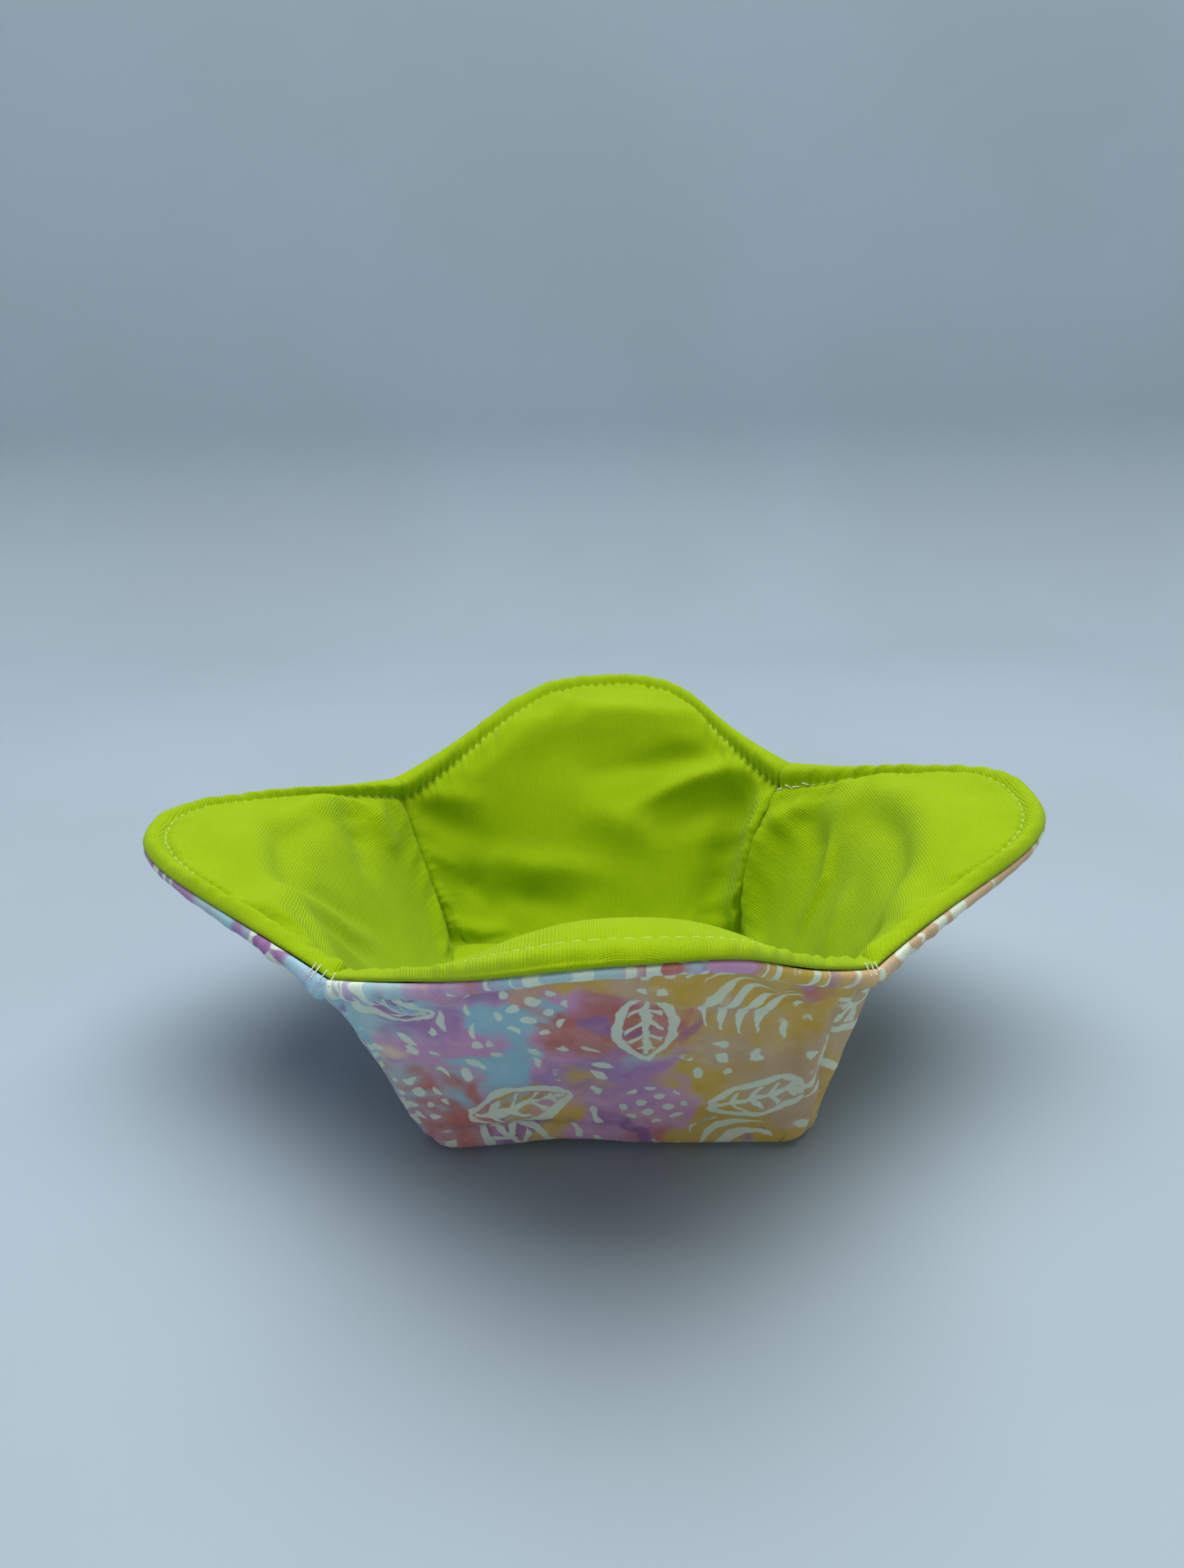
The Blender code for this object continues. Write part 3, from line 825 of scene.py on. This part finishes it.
def sew(name, rings, outside):
    """A closed mesh through the rings, from the base's middle over the rim and back."""
    points = np.vstack([ring.points for ring in rings])
    points[:, 2] = np.maximum(points[:, 2], 0.0)
    starts = np.cumsum([0] + [len(ring.points) for ring in rings])
    faces, places = [], []

    for r in range(len(rings) - 1):
        counts = [len(ring.points) for ring in rings[r : r + 2]]
        cells = min(counts)
        pattern = QUAD if counts[0] == counts[1] else MORE_ABOVE if counts[1] > counts[0] else MORE_BELOW
        for k in range(cells):
            for corners in pattern:
                face = []
                for up, along in corners if outside else corners[::-1]:
                    ring, index = rings[r + up], k * (counts[up] // cells) + along
                    at_seam = along > 0 and index % (counts[up] // 4) == 0
                    face.append(starts[r + up] + index % counts[up])
                    places.append((ring.flat_before if at_seam else ring.flat)[index % counts[up]])
                faces.append(face)
    for r, way in ((0, -1 if outside else 1), (len(rings) - 1, 1 if outside else -1)):
        faces.append(list(range(starts[r], starts[r + 1]))[::way])
        places.extend(rings[r].flat[::way])

    mesh = bpy.data.meshes.new(name)
    mesh.from_pydata((points * MM).tolist(), [], faces)
    layer = mesh.uv_layers.new(name="cloth")
    layer.data.foreach_set("uv", (np.array(places) / UV_SPAN).astype(np.float32).ravel())
    mesh.shade_smooth()
    return add(name, mesh)


def sunk(rows, columns, reach):
    """The rows' offsets, each lowered to the least one near it, for what lies behind a face."""
    shifts = range(-columns, columns + 1)
    low = [np.minimum.reduce([np.roll(offset, k) for k in shifts]) for _, offset in rows]
    return [np.minimum.reduce(low[max(k - reach, 0) : k + reach + 1]) for k in range(len(low))]


def layer_faces(side, seed, settled, under):
    """One cloth's face, as pairs of distances climbed and offsets, and how many are the wall's."""
    bumps = dimples(seed)
    first, last = FOLD_CLIMBS[-1], lengths - RIM_INSETS[0] * roll_width
    wall = [np.full(COLUMNS, climb) for climb in FOLD_CLIMBS]
    wall += [first + (last - first) * k / WALL_ROWS for k in range(1, WALL_ROWS)]
    rim = [lengths - inset * roll_width for inset in RIM_INSETS]
    below = [blurred_round(low, 30) for low in sunk(under, 10, 5)]
    rows = []
    for climbed in wall + rim:
        points = offset_points(climbed, side * HALF_BODY)
        flat = flat_place(points, climbed, column_petal)
        offset = face_offset(points, flat, climbed, side, bumps, seed, settled)
        if below:
            least = np.interp(lengths - climbed, (8.0, 14.0), (-6.0, LEAST_THICKNESS))
            near = below[max(len(rows) - 3, 0) : len(rows) + 4]
            short = least - sum(near) / len(near) - offset
            offset += 0.4 * np.log1p(np.exp(np.minimum(short / 0.4, 40.0)))
        rows.append((climbed, offset))
    return rows, len(wall)


def level_base(flat):
    return np.zeros(len(flat))


def swelled_base(flat):
    """The lining swells a little in the middle of the base."""
    return BASE_SWELL * np.exp(-((flat[:, 0] / 30) ** 2) - (flat[:, 1] / 30) ** 2)


def cotton(name, side, seed, settled, under=()):
    """One square of cotton: its face, its hem between the layers, and its back."""
    rows, wall_count = layer_faces(side, seed, settled, under)
    edge = offset_points(rows[0][0], side * rows[0][1])
    back_edge = offset_points(rows[0][0], side * np.maximum(rows[0][1] - FABRIC, 0.4))
    lift = swelled_base if side > 0 else level_base
    rings = [base_ring(edge, share, lift, 8) for share in BASE_SHARES[:3]]
    rings += [base_ring(edge, share, lift, 4) for share in BASE_SHARES[3:]]
    for k, (climbed, offset) in enumerate(rows):
        rings.append(ring_at(climbed, side * offset, 2 if k < wall_count else 1))
    for k, (inset, offset) in enumerate(HEM):
        offset = offset - side * rim_wrap * (k < 2)
        rings.append(ring_at(lengths - inset, side * offset, 2 if k < 1 else 4))
    behind = [(row[0], low) for row, low in zip(rows, sunk(rows, 5, 3))]
    back = [row for row in behind[::-1] if 2.0 <= (lengths - row[0]).min()]
    for climbed, offset in back[::3]:
        hidden = np.minimum(np.maximum(offset - FABRIC, BACK_LEAST), offset - BACK_CLEAR)
        rings.append(ring_at(climbed, side * hidden, 4))
    rings += [base_ring(back_edge, share, lift, 4) for share in BASE_SHARES[:2:-1]]
    rings += [base_ring(back_edge, share, lift, 8) for share in BASE_SHARES[2::-1]]
    return sew(name, rings, outside=side < 0), rows


settled = settle("lining_cloth", 1, 11, slack=0.045, reach=2.4)
lining, lining_rows = cotton("lining_cotton", 1, 11, settled)
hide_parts("lining_fabric")
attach(lining, "root")

settled = settle("outer_cloth", -1, 23, slack=0.04, reach=2.0)
outer, outer_rows = cotton("outer_cotton", -1, 23, settled, under=lining_rows)
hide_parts("outer_fabric")
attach(outer, "root")

# Lime cotton twill: fine ribs across the square's diagonal, over threads at 45 degrees.

LIME = (0.29, 0.45, 0.0)
LIME_PALE = (0.315, 0.48, 0.001)
RIB_PITCH, LIME_THREAD_PITCH = 0.75, 0.62

twill = Finish("lime_twill", roughness=0.8, specular=0.07, sheen=0.05)
place, x, y = twill.cloth()
patchy = twill.noise(place, 0.06, detail=4.0)
twill.paint("Base Color", twill.blend(patchy.between(0.3, 0.7), LIME, LIME_PALE))
ribs = (x * (2 * math.pi / RIB_PITCH) + twill.noise(place, 0.25) * 5.0).sine()
threads = twill.weave(x, y, LIME_THREAD_PITCH)
twill.bump(ribs * 0.5 + threads * 0.4 + twill.noise(place, 1.6, detail=3.0) * 1.2, 0.00012)
lining.data.materials.append(twill.material)

# Batik cotton: dye washed on wet, over marks of wax that leave the white cloth bare.

AQUA, TEAL, LILAC, ORCHID = (0.38, 0.60, 0.64), (0.28, 0.56, 0.66), (0.40, 0.22, 0.46), (0.62, 0.30, 0.52)
CORAL, OCHRE, TAN, PLUM = (0.52, 0.15, 0.13), (0.62, 0.40, 0.04), (0.55, 0.38, 0.20), (0.30, 0.12, 0.34)
BEIGE = (0.78, 0.62, 0.42)
BARE_CLOTH = (0.72, 0.84, 0.68)
WATERED = (0.80, 0.78, 0.76)
MARK_CELL = 29.0
DASH_CELL = 7.4
BATIK_THREAD_PITCH = 0.6
# A cell's random number picks its mark: rings at the top, then dots, leaves and combs.
RINGS_FROM, DOTS_FROM, LEAVES_FROM = 0.72, 0.56, 0.28

batik = Finish("batik_cotton", roughness=0.85, sheen=0.1, specular=0.2)
place, x, y = batik.cloth()
pool = batik.wobble(place, 0.045, 34.0)
aqua_side = batik.noise(pool, 0.02) - x * 0.0018 - y * 0.0009
dye = batik.blend(aqua_side.between(0.57, 0.70), ORCHID, AQUA)
washes = (
    ((40, 0, 0), 0.03, -0.0012, (0.52, 0.64), LILAC),
    ((0, 90, 0), 0.022, 0.0010, (0.49, 0.60), CORAL),
    ((70, 33, 0), 0.026, 0.0022, (0.50, 0.60), OCHRE),
    ((-55, 61, 0), 0.024, 0.0030, (0.54, 0.66), TAN),
    ((13, -77, 0), 0.035, -0.0012, (0.58, 0.68), TEAL),
    ((25, 55, 0), 0.05, -0.0010, (0.60, 0.72), PLUM),
    ((-31, -48, 0), 0.04, 0.0, (0.62, 0.76), BEIGE),
)
for shift, scale, to_right, (starts, full), colour in washes:
    amount = batik.noise(batik.move(pool, shift), scale, detail=3.0) + x * to_right
    dye = batik.blend(amount.between(starts, full), dye, colour)
watery = batik.noise(batik.wobble(place, 0.2, 9.0), 0.11, detail=5.0, roughness=0.65)
dye = batik.blend(watery.between(0.3, 0.75) * 0.2, dye, WATERED)

drawn = batik.wobble(place, 0.13, 3.4)


def scatter(vector, cell, jitter, turn):
    """Marks in cells: the place within the nearest cell, turned, and two random numbers."""
    sockets = {"Vector": vector, "Scale": 1 / cell, "Randomness": jitter}
    middle = batik.node("ShaderNodeTexVoronoi", sockets, out=2, voronoi_dimensions="2D")
    chance, other = batik.split(Wire(batik, middle.socket.node.outputs[1]))
    inside = batik.node("ShaderNodeVectorMath", [vector, middle], operation="SUBTRACT")
    angle = other * 6.283 if turn is None else turn
    inside = batik.node("ShaderNodeVectorRotate", {"Vector": inside, "Angle": angle}, rotation_type="Z_AXIS")
    return *batik.split(inside), chance, other


u, v, chance, _ = scatter(drawn, MARK_CELL, 0.55, None)
radius = (u * u + v * v) ** 0.5
around = u.maths("ARCTAN2", v)
gaps = (around + radius * 0.35).sine() * 3.0 + 2.2
rings = (1.35 - radius.from_line(6.0)).least(14.2 - radius).least(gaps).most(1.7 - radius)
dots = (1.45 - (u.from_line(5.2) ** 2 + v.from_line(5.2) ** 2) ** 0.5).least(8.4 - radius)
leaf_half = (1.0 - (v / 14.0) ** 2) * 6.4
leaf = (1.2 - abs(abs(u) - leaf_half)).least(13.9 - abs(v)).most((0.8 - abs(u)).least(12.0 - abs(v)))
leaf = leaf.most((0.75 - (v + abs(u) * 0.9).from_line(5.2)).least(leaf_half - 2.0 - abs(u)))
comb = (1.7 - abs(u) * 0.13 - (v - u * u / 18.0).from_line(5.4)).least(9.4 - abs(u)).least(11.4 - abs(v))
ring, dot_or_ring, not_comb = (chance.over(start) for start in (RINGS_FROM, DOTS_FROM, LEAVES_FROM))
wax = rings * ring + dots * (dot_or_ring - ring) + leaf * (not_comb - dot_or_ring)
wax = wax + comb * (1.0 - not_comb)
sway = batik.noise(place, 0.018) * 9.0
a, b, chance, other = scatter(drawn, DASH_CELL, 0.85, sway)
dash = (0.9 - (a**2 + (b / (1.2 + other * 1.7)) ** 2) ** 0.5 * 0.8).least(radius - 14.4)
dash = dash.least(chance * 6.0 - 2.6)
brush = (batik.noise(place, 0.2, detail=3.0) - 0.5) * 2.6
bare = (wax.most(dash) + brush).between(-0.2, 0.2)
batik.paint("Base Color", batik.blend(bare * (0.97 - watery * 0.25), dye, BARE_CLOTH))
weave = batik.weave(x, y, BATIK_THREAD_PITCH)
batik.bump(weave * 0.6 + batik.noise(place, 1.5, detail=3.0), 0.00008)
outer.data.materials.append(batik.material)

# The batting: a thin fleece pad behind each cloth, cut short of the hem.

BATTING_CLEAR = 0.8
BATTING_INNER = 0.25
BATTING_INSET = 8.2
BATTING_LEAST = 0.2
FLEECE_DARK, FLEECE_PALE = (0.78, 0.77, 0.73), (0.9, 0.89, 0.86)
kept = [k for k, row in enumerate(lining_rows) if (lengths - row[0]).min() > BATTING_INSET]
room_inside = list(zip(sunk(lining_rows, 7, 3), sunk(outer_rows, 7, 3)))[: len(kept)]
meeting = [(above - below) / 2 for above, below in room_inside]
half = [np.maximum((above + below) / 2, BATTING_LEAST) for above, below in room_inside]

for name, side, rows, node in (
    ("lining_pad", 1, lining_rows, "lining_batting"),
    ("outer_pad", -1, outer_rows, "outer_batting"),
):
    edge = offset_points(rows[0][0], side * (rows[0][1] - BATTING_CLEAR))
    back_edge = offset_points(rows[0][0], side * BATTING_INNER)
    rings = [base_ring(edge, part, level_base, 8) for part in BASE_SHARES]
    for k in kept[::2]:
        height = side * meeting[k] + np.maximum(half[k] - BATTING_CLEAR, 0.3 * half[k])
        rings.append(ring_at(rows[k][0], side * height, 4))
    for k in kept[::-2]:
        height = side * meeting[k] + np.minimum(BATTING_INNER, 0.1 * half[k])
        rings.append(ring_at(rows[k][0], side * height, 4))
    rings += [base_ring(back_edge, part, level_base, 8) for part in BASE_SHARES[::-1]]
    pad = sew(name, rings, outside=side < 0)
    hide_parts(node)
    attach(pad, "root")
    fleece = Finish(name + "_fleece", roughness=0.95, specular=0.1)
    tufts = fleece.noise(fleece.own_place(), 900.0, detail=3.0)
    fleece.paint("Base Color", fleece.blend(tufts, FLEECE_DARK, FLEECE_PALE))
    fleece.bump(tufts, 0.0004)
    pad.data.materials.append(fleece.material)

# The topstitching: one row of machine stitches, seen on both faces, 6.3 mm in from the rim.

THREAD_LIME = (0.50, 0.66, 0.14)
THREAD_RADIUS = 0.2
STITCH_SHARE = 0.74
THREAD_SIDES = 6
# On the front and rear petals the lining's thread lies lower, and shows less.
SUNK_THREAD = 0.2
THREAD_LIES, STITCH_ARCH = 0.04, 0.14


def thread_strand(path, radius, ends):
    """A strand along a path of points: its points and faces, drawn in at both ends."""
    path = np.array(path, dtype=float)
    along = np.gradient(path, axis=0)
    along /= np.linalg.norm(along, axis=1, keepdims=True)
    aside = (0.0, 0.0, 1.0) if abs(along[:, 2]).max() < 0.9 else (1.0, 0.0, 0.0)
    lift = np.cross(along, np.cross(aside, along))
    lift /= np.linalg.norm(lift, axis=1, keepdims=True)
    beside = np.cross(along, lift)
    turn = 2 * math.pi * np.arange(THREAD_SIDES) / THREAD_SIDES
    thick = np.interp(np.linspace(0, 1, len(path)), (0.0, 0.08, 0.92, 1.0), (ends, 1.0, 1.0, ends)) * radius
    rings = path[:, None] + thick[:, None, None] * (
        np.cos(turn)[None, :, None] * lift[:, None] + np.sin(turn)[None, :, None] * beside[:, None]
    )
    n, faces = THREAD_SIDES, []
    for low in range(0, (len(path) - 1) * n, n):
        faces += [(low + m, low + n + m, low + n + (m + 1) % n, low + (m + 1) % n) for m in range(n)]
    faces.append(tuple(range(n)))
    faces.append(tuple(range((len(path) - 1) * n, len(path) * n))[::-1])
    return rings.reshape(-1, 3), faces


def strand_piece(name, strands):
    """One piece of thread from many strands."""
    points, faces, start = [], [], 0
    for strand, sides in strands:
        points.append(strand)
        faces += [[start + k for k in side] for side in sides]
        start += len(strand)
    mesh = bpy.data.meshes.new(name)
    mesh.from_pydata((np.vstack(points) * MM).tolist(), [], faces)
    shape = bmesh.new()
    shape.from_mesh(mesh)
    bmesh.ops.recalc_face_normals(shape, faces=shape.faces)
    shape.to_mesh(mesh)
    shape.free()
    mesh.shade_smooth()
    return add(name, mesh)


def twisted(name, colour, shade):
    """Cotton thread, with painted shade between its twisted plies."""
    cotton_thread = Finish(name, roughness=0.8, sheen=0.2, specular=0.2)
    ply_shade = cotton_thread.noise(cotton_thread.own_place(), 2500.0)
    # Painted shade: a darker copy of the thread's colour, mixed in by a fine noise as the shade between the
    # plies.
    ply_shaded_colour = tuple(part * shade for part in colour)
    cotton_thread.paint("Base Color", cotton_thread.blend(ply_shade.between(0.35, 0.65), ply_shaded_colour, colour))
    cotton_thread.bump(ply_shade, 0.0001)
    return cotton_thread.material


def at_phase(values, phase):
    """The columns' values at places that are counted in stitches round the rim."""
    known = np.append(stitch_phase, stitch_count)
    return np.stack([np.interp(phase, known, np.append(part, part[0])) for part in values.T], axis=1)


thread_sunk = blurred_round(np.where(column_petal % 2 == 0, SUNK_THREAD, 0.0))
lime_thread = twisted("lime_thread", THREAD_LIME, 0.8)
for name, side, rows, slot in (
    ("topstitch_inside", 1, lining_rows, "lime_cotton"),
    ("topstitch_outside", -1, outer_rows, "printed_cotton"),
):
    offset = next(offset for climbed, offset in rows if np.allclose(climbed, stitch_climb))
    ground = offset_points(stitch_climb, side * offset)
    above = offset_points(stitch_climb, side * (offset + 1.0)) - ground
    bends = np.linspace(-0.5, 0.5, 7) * STITCH_SHARE
    arch = THREAD_LIES + STITCH_ARCH * np.cos(np.linspace(-1, 1, 7) * math.pi / 2)
    strands = []
    for k in range(stitch_count):
        phase = k + 0.5 + bends
        lift = arch[:, None] - at_phase(thread_sunk[:, None], phase) * (side > 0)
        path = at_phase(ground, phase) + at_phase(above, phase) * lift
        strands.append(thread_strand(path, THREAD_RADIUS, 0.45))
    stitches = strand_piece(name, strands)
    stitches.data.materials.append(lime_thread)
    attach(stitches, "root")

# The hand stitches: where the machine left a dart open, a few stitches of white thread.

THREAD_WHITE = (0.82, 0.86, 0.70)
HAND_THREAD_RADIUS = 0.13


def face_point(column, climbed, side, rows, lift):
    """A point just off one cloth's face, at a place between the columns."""
    low = int(math.floor(column)) % COLUMNS
    share = column - math.floor(column)
    ends = []
    for near in (low, (low + 1) % COLUMNS):
        offset = np.interp(climbed, [row[0][near] for row in rows], [row[1][near] for row in rows])
        place = climbed / lengths[near] * (middle_lines.shape[1] - 1)
        step = min(int(place), middle_lines.shape[1] - 2)
        here, above = middle_lines[near, step : step + 2]
        spot = here + (above - here) * (place - step)
        ends.append(spot + middle_normals[near, step] * side * (offset + lift))
    return ends[0] * (1 - share) + ends[1] * share


def on_rim(dart, along):
    """The column a distance along the rim from a dart, counted from the front left one."""
    arc = (rim_arc[dart * per_petal] + along) % rim_length
    return float(np.interp(arc, np.append(rim_arc, rim_length), np.arange(COLUMNS + 1)))


def whip_stitch(dart, along, slant, inside, outside):
    """A stitch over the rim, from the lining's face to the outer's."""
    path = []
    for share in np.linspace(0.0, 1.0, 15):
        column = on_rim(dart, along + slant * share)
        inset = inside * (1 - 2 * share) if share < 0.5 else outside * (2 * share - 1)
        rows, side = (lining_rows, 1) if share < 0.5 else (outer_rows, -1)
        reach = lengths[int(column) % COLUMNS] - inset
        path.append(face_point(column, reach, side, rows, 0.1 + 0.2 * math.sin(math.pi * share)))
    return thread_strand(path, HAND_THREAD_RADIUS, 0.6)


def running_stitch(dart, along, length, inset, drift):
    """A stitch that lies on the lining's face along the rim."""
    path = []
    for share in np.linspace(0.0, 1.0, 9):
        column = on_rim(dart, along + length * share)
        here = int(column) % COLUMNS
        reach = lengths[here] - (inset + drift * share) * roll_width[here]
        path.append(face_point(column, reach, 1, lining_rows, 0.1 + 0.3 * math.sin(math.pi * share)))
    return thread_strand(path, 1.7 * HAND_THREAD_RADIUS, 0.6)


# Darts 0, 1 and 2 are the front left, the front right and the rear right one.
hand = [whip_stitch(1, -0.9 - 2.0 * k, slant, 0.25, 0.1) for k, slant in enumerate((1.1, 1.4, 0.9))]
hand += [whip_stitch(0, -1.6 - 1.9 * k, slant, 0.05, 0.02) for k, slant in enumerate((0.5, -0.4, 0.7))]
hand += [whip_stitch(0, 1.2, 0.9, 0.2, 0.02)]
for k, drift in enumerate((0.7, -0.6, 0.6, -0.4)):
    hand.append(running_stitch(2, -3.2 - 3.3 * k, 2.9, 6.5 - 0.1 * k, drift))
hand_stitches = strand_piece("hand_stitches", hand)
hand_stitches.data.materials.append(twisted("white_thread", THREAD_WHITE, 0.85))
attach(hand_stitches, "root")
